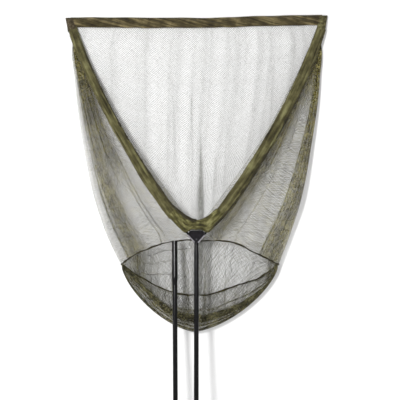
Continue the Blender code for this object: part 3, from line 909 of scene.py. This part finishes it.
def painted_wall(name, dark, light):
    """Emulsion on plaster: white and matt. It is open from behind, so that the net's back can be seen."""
    made, tree, shader, place = new_material(name)
    roller = add_node(tree, "ShaderNodeTexNoise", {"Vector": place, "Scale": 6.0, "Detail": 2.0})
    stops = ((0.3, dark), (0.7, light))
    paint = add_node(tree, "ShaderNodeValToRGB", {"Fac": roller.outputs["Fac"]}, stops)
    tree.links.new(paint.outputs["Color"], shader.inputs["Base Color"])
    shader.inputs["Roughness"].default_value = 0.9
    shader.inputs["Specular IOR Level"].default_value = 0.1
    side = add_node(tree, "ShaderNodeNewGeometry").outputs["Backfacing"]
    open_side = add_node(tree, "ShaderNodeBsdfTransparent").outputs["BSDF"]
    mixed = add_node(tree, "ShaderNodeMixShader", {0: side, 1: shader.outputs["BSDF"], 2: open_side})
    tree.links.new(mixed.outputs["Shader"], tree.nodes["Material Output"].inputs["Surface"])
    return made


def finish(name, maker, *values):
    """The named material, made on first use."""
    return bpy.data.materials.get(name) or maker(name, *values)


# Each cloth takes three colours: the painted shade in its creases, its own colour, and the painted light on
# its folds.
def olive_cloth():
    colour = bpy.context.scene.landing_cloth.olive
    return finish("woven polyester olive", woven_polyester, linear("262210"), colour, linear("86835A"))


# The throat cloth has deeper painted shade in its creases and brighter painted light on its folds than the
# sleeves.
def throat_cloth():
    colour = bpy.context.scene.landing_cloth.throat
    return finish("woven polyester gathered", woven_polyester, linear("1C190C"), colour, linear("9C9967"))


def slanted_cloth():
    """The sleeve across the tips is twisted a little, so its creases, and the shade painted into them, run
    slantwise along it.
    """
    colours = linear("1F190C"), bpy.context.scene.landing_cloth.tips, linear("94865F")
    return finish("woven polyester slanted", woven_polyester, *colours, TIP_CREASE_SLANT)


def brown_cloth():
    colour = bpy.context.scene.landing_cloth.brown
    return finish("woven polyester brown", woven_polyester, linear("2A2415"), colour, linear("6E6350"))


# Real binding tape round the base, and the painted shade of the dark strips along the arm sleeves.
def binding_and_painted_shade():
    colour = bpy.context.scene.landing_cloth.binding
    return finish("woven polyester binding", woven_polyester, linear("1F1C10"), colour, linear("544D34"))


def deep_yarn():
    colour = bpy.context.scene.landing_net.base_yarn
    return finish("knitted yarn deep olive", knitted_yarn, linear("1A190F"), colour, linear("757152"))


def dark_yarn():
    colour = bpy.context.scene.landing_net.side_yarn
    return finish("knitted yarn olive", knitted_yarn, linear("252010"), colour, linear("A09860"))


def pale_yarn():
    colour = bpy.context.scene.landing_net.back_yarn
    return finish("knitted yarn faded", knitted_yarn, linear("8F8F8B"), colour, linear("BBBBB8"))


# --- settings shown in the sidebar -------------------------------------------------------------------


def metres(name, description, default):
    return FloatProperty(name=name, description=description, default=default, min=0.0001, unit="LENGTH")


def diamonds(name, description, default):
    return IntProperty(name=name, description=description, default=default, min=10)


def swatch(name, description, hex_colour):
    default = linear(hex_colour)
    return FloatVectorProperty(
        name=name, description=description, default=default, size=4, min=0.0, max=1.0, subtype="COLOR"
    )


class LANDINGNET_PG_net(bpy.types.PropertyGroup):
    thread: metres("Thread", "Side of each three-sided thread", 0.00080)
    fine_thread: metres("Fine thread", "Side of each thread of the back panel", 0.00086)
    cell: metres("Cell", "Width of an open diamond, from which each panel's cut size is worked out", 0.0085)
    back_columns: diamonds("Back columns", "Diamonds across the back panel", 122)
    back_rows: diamonds("Back rows", "Diamonds down the back panel", 124)
    side_columns: diamonds("Side columns", "Diamonds across a side panel", 74)
    side_rows: diamonds("Side rows", "Diamonds down a side panel", 122)
    base_columns: diamonds("Base columns", "Diamonds across the base", 108)
    base_rows: diamonds("Base rows", "Diamonds along the base", 116)
    back_yarn: swatch("Back yarn", "Colour of the back panel", "A6A6A2")
    side_yarn: swatch("Side yarn", "Colour of the side panels", "4C4624")
    base_yarn: swatch("Base yarn", "Colour of the base", "393624")


class LANDINGNET_PG_cloth(bpy.types.PropertyGroup):
    sleeve_width: metres("Sleeve width", "Width of an arm sleeve laid flat", 0.045)
    sleeve_crown: metres("Sleeve crown", "How far an arm sleeve stands proud of the arm", 0.010)
    top_height: metres("Top sleeve height", "Height of the sleeve across the tips", 0.041)
    olive: swatch("Olive cloth", "Colour of the arm sleeves and the right pocket", "575233")
    tips: swatch("Tip cloth", "Colour of the sleeve across the tips", "50472D")
    throat: swatch("Throat cloth", "Colour of the cloth over the spreader", "57532F")
    brown: swatch("Brown cloth", "Colour of the left pocket and the stitches", "463D2B")
    # The hems are dark strips of painted shade along the arm sleeves; the tape round the base is real
    # binding.
    binding: swatch("Binding", "Colour of the hems and of the tape round the base", "35301E")


class LANDINGNET_PG_hardware(bpy.types.PropertyGroup):
    edge_radius: metres("Raised edge", "Half the width of the spreader's raised edges", 0.0028)
    lacquer: swatch("Lacquer", "Colour of the handle and the arms", "0A0A0B")
    moulding: swatch("Moulding", "Colour of the spreader block", "0E0C10")
    # The pale grey of the spreader's raised edges is a painted highlight.
    painted_highlight: swatch("Rubbed edge", "Colour of the spreader's raised edges", "6E6C70")
    metal: swatch("Metal", "Colour of the screw", "3A3A3D")


class LANDINGNET_PG_stage(bpy.types.PropertyGroup):
    fill: FloatProperty(name="Fill", description="Brightness of the light all round", default=0.56, min=0.0)
    key: FloatProperty(name="Key", description="Power of the soft box in watts", default=104.0, min=0.0)
    wall_y: metres("Wall", "How far back the wall stands", 0.2388)
    fill_colour: swatch("Fill colour", "Colour of the light from all round", "FFFFFF")
    wall_colour: swatch("Wall colour", "Colour of the wall and the floor", "FAFAFA")


# --- pieces ------------------------------------------------------------------------------------------


def ride(obj):
    """Fastens a piece to the net's one body."""
    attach(obj, "root")
    return obj


def settle_net(name, node, surface, places, down, material, thread, looseness):
    """Builds one panel of netting and works out the area it was cut to, which nothing uses."""
    cell = bpy.context.scene.landing_net.cell
    places = unsettled(places, 1, looseness, len(name) + 1)
    down = unsettled(down, 0, looseness, len(name) + 2)
    net = strand_net(name, places, down, surface, thread, material, looseness + 0.05)
    ride(net)
    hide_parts(node)
    # Netting is measured at half its stretched width. A diamond of bar b is then b wide and covers 0.866 b
    # squared, and two bars of thread go to each diamond, since it shares its four with its neighbours.
    bar = cell / math.sqrt(2.0)
    area = thread_length(surface(places, down)) * bar / 2 * HALF_HUNG_AREA


def even_down(rows, columns):
    """Rows of knots at even steps down a panel."""
    return np.tile(np.linspace(0.0, LAST_ROW, rows + 1)[:, None], (1, columns + 1))


class LANDINGNET_OT_net(bpy.types.Operator):
    """Knots the four panels of the bag"""

    bl_idname = "landing_net.net"
    bl_label = "Net panels"

    def execute(self, context):
        s = context.scene.landing_net
        rows, columns = s.back_rows, s.back_columns
        places = gathered(columns, rows, BACK_GATHER, BACK_CREASES, 51, -BACK_REACH, BACK_REACH)
        down = even_down(rows, columns)
        yarn, thread = pale_yarn(), s.fine_thread
        settle_net("panel_back", "net_back", back_surface, places, down, yarn, thread, 0.10)

        rows, columns = s.side_rows, s.side_columns
        down = even_down(rows, columns)
        for side, word, gather, creases, seed, weight in (
            (-1, "left", LEFT_GATHER, LEFT_CREASES, 61, 0.93),
            (1, "right", RIGHT_GATHER, RIGHT_CREASES, 71, 1.10),
        ):
            name, node, surface = "panel_" + word, "net_" + word, side_surface(side)
            places = gathered(columns, rows, gather, creases, seed, 0.0, SIDE_REACH)
            settle_net(name, node, surface, places, down, dark_yarn(), weight * s.thread, 0.35)

        rows, columns = s.base_rows, s.base_columns
        places = gathered(columns, rows, BASE_GATHER, BASE_CREASES, 81, -BACK_REACH, BACK_REACH)
        down = arced(columns, rows, BASE_ARCS, 0.012, 1.985)
        yarn, thread = deep_yarn(), 1.15 * s.thread
        settle_net("panel_base", "net_base", base_surface, places, down, yarn, thread, 0.35)
        return {"FINISHED"}


class LANDINGNET_OT_binding(bpy.types.Operator):
    """Rolls the tape that binds the base to the upper panels, and the cords along the cut edges"""

    bl_idname = "landing_net.binding"
    bl_label = "Bindings"

    def execute(self, context):
        line = ring_line(260)
        share = np.arange(len(line)) / len(line)
        line = line + 0.0022 * np.stack([0 * share, wander(share, 5, 6, 7.0), wander(share, 6, 6, 9.0)], -1)
        radius = 0.0029 * np.exp(0.45 * wander(share, 7, 6, 11.0))
        tape = ride(tube("ring_binding", line, radius, binding_and_painted_shade(), 8, closed=True))
        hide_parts("ring_seam")
        for side, word in ((-1, "left"), (1, "right")):
            surface = side_surface(side)
            down = np.linspace(0.0, 0.93, 200)
            edge = surface(np.full(200, 0.002), down)
            ride(tube("edge_cord_" + word, edge, 0.0007, pale_yarn(), 5))
            seam = surface(np.full(160, 0.999), np.linspace(0.0, 0.99, 160))
            ride(tube("side_seam_" + word, seam, 0.0008, pale_yarn(), 5))
        return {"FINISHED"}


def sleeve_grid(side, heights, around):
    """An arm sleeve: a rounded channel over the arm, with steep sides and folds that run its length."""
    s = bpy.context.scene.landing_cloth
    centres, wide = arm_line(side, heights)
    share = (heights - heights[0]) / (heights[-1] - heights[0])
    narrow = 1 - 0.16 * step((heights - 1.70) / 0.13)
    if side < 0:
        narrow = narrow - 0.17 * step((heights - 1.22) / 0.12) * (1 - step((heights - 1.68) / 0.14))
    half = 0.5 * s.sleeve_width * narrow
    turn = 2 * math.pi * np.arange(around) / around
    reach = np.sign(np.cos(turn)) * np.abs(np.cos(turn)) ** 0.8
    front = np.sin(turn)
    low_end = 1 - 0.45 * step((1.105 - heights) / 0.04)
    crown = np.where(front > 0, s.sleeve_crown * np.abs(front) ** 0.62, -SLEEVE_BEHIND * np.abs(front) ** 0.8)
    run = share[:, None]
    fold = 0.30 * wander(0.35 * reach[None, :] + 0.5 * run, 90 + side, 5, 1.6)
    fold = fold + 0.16 * wander(0.9 * reach[None, :] + 2.0 * run, 92 + side, 4, 1.3)
    edge = half[:, None] * (1 + 0.04 * wander(run, 94 + side, 6, 7.0))
    lift = crown[None, :] * np.where(front > 0, 1 + fold, 1.0)
    lift = lift * np.where(front[None, :] > 0, low_end[:, None], 1.0)
    sideways = edge * reach
    if side < 0:
        # The left sleeve is narrower on its outer side only.
        sideways = sideways + (1 - narrow[:, None]) * 0.5 * s.sleeve_width * 0.9
    return centres[:, None] + sideways[:, :, None] * wide[:, None] + lift[:, :, None] * frame_normal(1)[None]


def sewn(name, node, grid, material, wrap=True, offset=-1.0):
    """A cloth piece from a grid of points, given its thickness."""
    rows, columns = grid.shape[:2]
    faces, sheet = grid_faces(rows, columns, wrap), grid_uv(rows, columns)
    obj = mesh_object(name, grid.reshape(-1, 3), faces, material, sheet)
    thicken(obj, CLOTH_THICKNESS, offset)
    ride(obj)
    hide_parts(node)


def stitches(name, line, out, material):
    """A row of stitches: short raised threads along a line."""
    line = np.asarray(line, float)
    run = np.concatenate([[0.0], np.cumsum(np.linalg.norm(np.diff(line, axis=0), axis=1))])
    starts = np.arange(0.004, run[-1] - STITCH, STITCH + STITCH_GAP)
    points, faces = [], []
    bow = np.array([0.0, 0.0005, 0.0006, 0.0005, 0.0])
    for n, start in enumerate(starts):
        at = np.linspace(start, start + STITCH, 5)
        centre = np.stack([np.interp(at, run, line[:, k]) for k in range(3)], -1) + bow[:, None] * out
        along = centre[-1] - centre[0]
        across = np.cross(along / np.linalg.norm(along), out)
        turn = 2 * math.pi * np.arange(5) / 5
        ring = centre[:, None] + STITCH_RADIUS * (
            np.cos(turn)[None, :, None] * across + np.sin(turn)[None, :, None] * np.asarray(out)
        )
        points.append(ring.reshape(-1, 3))
        faces.append(grid_faces(5, 5, wrap=True) + 25 * n)
    return mesh_object(name, np.concatenate(points), np.concatenate(faces), material)


def pocket_grid(side, rows, around):
    """The doubled corner: it starts square to the arm and ends level with the top of the upper sleeve."""
    (low,), (low_wide,) = arm_line(side, np.array([POCKET_LOW_Z]))
    high = on_frame(side * 0.5285, 1.8875 if side < 0 else 1.8975)
    high_wide = np.array([-side, 0.0, 0.0])
    share = np.linspace(0.0, 1.0, rows)[:, None]
    centre = low * (1 - share) + high * share
    wide = low_wide * (1 - share) + high_wide * share
    wide = wide / np.linalg.norm(wide, axis=1)[:, None]
    close = np.sqrt(np.clip(1 - share**8, 0.0, 1.0)) * 0.97 + 0.03
    turn = 2 * math.pi * np.arange(around) / around
    reach = np.sign(np.cos(turn)) * np.abs(np.cos(turn)) ** 0.75
    depth = np.sign(np.sin(turn)) * np.abs(np.sin(turn)) ** 0.75
    crumple = 1 + 0.14 * wander(share * 0.8 + turn[None, :] / 6.3, 97 + side, 5, 1.0)
    half = POCKET_HALF_WIDTH * (1 - 0.08 * np.sin(math.pi * share)) * (1 - 0.06 * share**8)
    across = (half * reach[None, :])[:, :, None] * wide[:, None]
    reach_out = np.where(depth > 0, POCKET_OUT, POCKET_BEHIND)
    out = (reach_out[None, :] * depth[None, :] * close * crumple)[:, :, None]
    return centre[:, None] + across + out * frame_normal(1)[None]


class LANDINGNET_OT_sleeves(bpy.types.Operator):
    """Sews the arm sleeves, the sleeve across the tips and the tip pockets"""

    bl_idname = "landing_net.sleeves"
    bl_label = "Sleeves and pockets"

    def execute(self, context):
        s = context.scene.landing_cloth
        out = frame_normal(1)[0]
        for side, word in ((-1, "left"), (1, "right")):
            heights = np.linspace(SLEEVE_LOW_Z, SLEEVE_HIGH_Z, 190)
            grid = sleeve_grid(side, heights, 48)
            if side > 0:
                grid = grid[:, ::-1]
            sewn("sleeve_cloth_" + word, "sleeve_" + word, grid, olive_cloth())
            centres, wide = arm_line(side, heights)
            seam = centres - wide * 0.0175 + out * SEAM_OUT
            ride(stitches("sleeve_stitches_" + word, seam, out, brown_cloth()))

            # Painted shadow: a dark strip along each arm sleeve, on the mouth side of the left sleeve and the
            # outer side of the right one, where the light from the left leaves shade; it carries on down the
            # edge of the throat cloth.
            roll = centres[8:-6] - side * wide[8:-6] * 0.0172 + out * SEAM_OUT
            along = np.linspace(0.0 if side < 0 else 0.36, 0.97, 60)
            which = 1 if side < 0 else 3
            throat_x = side * smooth(along, column(THROAT, 0), column(THROAT, which))
            throat_z = smooth(along, column(THROAT, 0), column(THROAT, which + 1))
            tail = on_frame(throat_x, throat_z + (-0.003 if side < 0 else 0.004), 0.0138)
            roll = even(np.concatenate([tail, roll]), 240)
            share = np.linspace(0, 1, len(roll))
            roll = roll + out * (0.0014 * wander(share, 95 + side, 5, 4.0))[:, None]
            width = 0.0050 * np.exp(0.30 * wander(share, 99 + side, 6, 6.0))
            width = width * (1 - 0.55 * step((share - 0.70) / 0.3))
            width = width * (1.05 if side < 0 else 0.35 + 0.65 * step(share / 0.10))
            shade_strip = tube("sleeve_hem_" + word, roll, width, binding_and_painted_shade(), 10, flat=0.75)
            ride(shade_strip)

            grid = pocket_grid(side, 30, 44)
            if side > 0:
                grid = grid[:, ::-1]
            cloth = brown_cloth() if side < 0 else olive_cloth()
            sewn("pocket_cloth_" + word, "pocket_" + word, grid, cloth)

        x = np.linspace(TOP_LINE[0][0] - 0.024, TOP_LINE[-1][0] + 0.024, 280)
        z = smooth(x, column(TOP_LINE, 0), column(TOP_LINE, 1))
        turn = 2 * math.pi * np.arange(56) / 56
        half = 0.5 * s.top_height
        sag = 1 + 0.07 * wander(x, 101, 6, 3.0)
        crest = 1 + 0.10 * wander(x, 107, 5, 1.6)
        lower = np.cos(turn)[None, :] < 0
        rise = half * np.cos(turn)[None, :] * np.where(lower, sag[:, None], crest[:, None])
        front = np.sin(turn)[None, :]
        slanted = wander(x[:, None] * 1.1 + 9.0 * rise, 103, 7, 2.4)
        crown = np.where(front > 0, TOP_OUT, TOP_BEHIND) * np.sign(front) * np.abs(front) ** 0.75
        depth = crown * (1 + 0.34 * slanted * (front > 0))
        grid = on_frame(x[:, None] + 0 * rise, z[:, None] + rise, depth)
        sewn("top_cloth", "sleeve_top", grid[:, ::-1], slanted_cloth())
        seam = on_frame(x, z - half * 0.86, 0.0064)
        ride(stitches("top_stitches", seam, out, brown_cloth()))
        return {"FINISHED"}


class LANDINGNET_OT_throat(bpy.types.Operator):
    """Folds the cloth over the throat of the frame"""

    bl_idname = "landing_net.throat"
    bl_label = "Throat cloth"

    def execute(self, context):
        along = np.linspace(-1.0, 1.0, 161)
        side = np.sign(along)
        size = np.abs(along)
        knots = column(THROAT, 0)
        top_x, top_z = side * smooth(size, knots, column(THROAT, 1)), smooth(size, knots, column(THROAT, 2))
        low_x, low_z = side * smooth(size, knots, column(THROAT, 3)), smooth(size, knots, column(THROAT, 4))
        leaf = np.linspace(1.0, 0.22, 24)
        arch = np.linspace(0, math.pi, 15)
        shares = np.concatenate([leaf[:-1], 0.22 * (1 - np.sin(arch)), leaf[::-1][1:]])
        front, behind = np.full(23, THROAT_OUT), np.full(23, -THROAT_BEHIND)
        outs = np.concatenate([front, THROAT_OUT * np.cos(arch), behind])
        x = top_x[:, None] * (1 - shares) + low_x[:, None] * shares
        z = top_z[:, None] * (1 - shares) + low_z[:, None] * shares
        spread = size[:, None] * (1.2 + 0.5 * shares[None, :])
        fold = 0.0022 * wander(0.55 * shares[None, :] + 0.25 * spread, 111, 5, 1.8)
        fold = fold + 0.0012 * wander(along[:, None] * 1.6 + 1.1 * shares[None, :], 113, 5, 1.6)
        fold = np.abs(fold) * (outs[None, :] > 0.004)
        grid = on_frame(x, z, outs[None, :] + fold)
        cloth = throat_cloth()
        sewn("throat_cloth", "throat", grid, cloth, wrap=False, offset=0.0)
        return {"FINISHED"}


class LANDINGNET_OT_hardware(bpy.types.Operator):
    """Finishes the handle, arms, ferrule and spreader, and moulds the spreader's raised edges in pale grey as
    a painted highlight
    """

    bl_idname = "landing_net.hardware"
    bl_label = "Handle and spreader"

    def execute(self, context):
        s = context.scene.landing_hardware
        lacquers = linear("060607"), s.lacquer, linear("141415")
        tube_black = finish("black lacquered tube", black_lacquered_tube, *lacquers)
        nylon = finish("moulded nylon black", moulded_nylon, s.moulding, linear("1B181D"))
        # A pale copy of the block's nylon, which paints the highlight along the raised edges.
        highlight_nylon = finish("moulded nylon rubbed", moulded_nylon, s.painted_highlight, linear("9A989C"))
        alloy = finish("turned alloy dark", turned_alloy, s.metal, linear("56565A"))
        finishes = {
            "handle_upper": tube_black,
            "handle_lower": tube_black,
            "arm_left": tube_black,
            "arm_right": tube_black,
            "ferrule": tube_black,
            "spreader_block": nylon,
            "spreader_screw": alloy,
        }
        for node, material in finishes.items():
            obj = bpy.data.objects[node]
            for slot in obj.material_slots:
                slot.material = material
        # Ridges along the spreader's lower sides, coloured pale grey as a painted highlight.
        for side, word in ((-1, "left"), (1, "right")):
            x = side * np.linspace(0.0072, 0.0342, 24)
            z = np.linspace(0.9545, 0.9842, 24)
            edge = tube("spreader_edge_" + word, on_frame(x, z, 0.0122), s.edge_radius, highlight_nylon, 12, flat=0.5)
            ride(edge)
        return {"FINISHED"}


class LANDINGNET_OT_stage(bpy.types.Operator):
    """Sets the wall, the floor, the light and the camera"""

    bl_idname = "landing_net.stage"
    bl_label = "Stage"

    def execute(self, context):
        s = context.scene.landing_stage
        paint = finish("painted wall white", painted_wall, s.wall_colour, linear("FCFCFC"))
        low, far, back = CAD_BOX[0][2], STAGE_REACH, s.wall_y
        corners = {
            "wall": ((-far, back, low), (far, back, low), (far, back, far), (-far, back, far)),
            "floor": ((-far, far, low), (-far, -far, low), (far, -far, low), (far, far, low)),
        }
        for name, points in corners.items():
            mesh_object("stage_" + name, points, [[0, 1, 2, 3]], paint)

        world = context.scene.world or bpy.data.worlds.new("studio")
        context.scene.world = world
        world.use_nodes = True
        background = world.node_tree.nodes["Background"]
        background.inputs["Color"].default_value = s.fill_colour
        background.inputs["Strength"].default_value = s.fill

        aim = np.array([0.0, 0.2, 1.2])
        turn, rise = LAMP_TURN, LAMP_RISE
        away = np.array([-math.sin(turn) * math.cos(rise), -math.cos(turn) * math.cos(rise), math.sin(rise)])
        lamp = bpy.data.lights.new("soft box", "AREA")
        lamp.shape = "RECTANGLE"
        lamp.size, lamp.size_y = LAMP_WIDTH, LAMP_HEIGHT
        lamp.energy = s.key
        holder = bpy.data.objects.new("soft box", lamp)
        holder.location = aim + LAMP_DISTANCE * away
        holder.rotation_euler = (math.pi / 2 - rise, 0.0, -turn)
        context.scene.collection.objects.link(holder)

        eye = bpy.data.cameras.new("camera")
        eye.sensor_width = 36.0
        eye.lens = eye.sensor_width * CAMERA_DISTANCE / VIEW_WIDTH
        camera = bpy.data.objects.new("camera", eye)
        camera.location = (0.0146, 0.23 - CAMERA_DISTANCE, 1.128)
        camera.rotation_euler = (math.pi / 2, 0.0, 0.0)
        context.scene.collection.objects.link(camera)
        context.scene.camera = camera
        context.scene.view_settings.view_transform = "Standard"
        return {"FINISHED"}


class LANDINGNET_PT_panel(bpy.types.Panel):
    """Buttons and sizes for the landing net"""

    bl_idname = "LANDINGNET_PT_panel"
    bl_label = "Landing net"
    bl_space_type = "VIEW_3D"
    bl_region_type = "UI"
    bl_category = "Landing net"

    def draw(self, context):
        for operator in OPERATORS:
            self.layout.operator(operator.bl_idname)
        for key, group in GROUPS.items():
            for setting in group.__annotations__:
                self.layout.prop(getattr(context.scene, key), setting)


OPERATORS = (
    LANDINGNET_OT_stage,
    LANDINGNET_OT_net,
    LANDINGNET_OT_binding,
    LANDINGNET_OT_sleeves,
    LANDINGNET_OT_throat,
    LANDINGNET_OT_hardware,
)
GROUPS = {
    "landing_net": LANDINGNET_PG_net,
    "landing_cloth": LANDINGNET_PG_cloth,
    "landing_hardware": LANDINGNET_PG_hardware,
    "landing_stage": LANDINGNET_PG_stage,
}


def register():
    for group in GROUPS.values():
        bpy.utils.register_class(group)
    for key, group in GROUPS.items():
        setattr(bpy.types.Scene, key, PointerProperty(type=group))
    for operator in OPERATORS:
        bpy.utils.register_class(operator)
    bpy.utils.register_class(LANDINGNET_PT_panel)


def unregister():
    bpy.utils.unregister_class(LANDINGNET_PT_panel)
    for operator in reversed(OPERATORS):
        bpy.utils.unregister_class(operator)
    for key, group in GROUPS.items():
        delattr(bpy.types.Scene, key)
        bpy.utils.unregister_class(group)


def main():
    register()
    for operator in OPERATORS:
        group, name = operator.bl_idname.split(".")
        getattr(getattr(bpy.ops, group), name)()


if __name__ == "__main__":
    main()
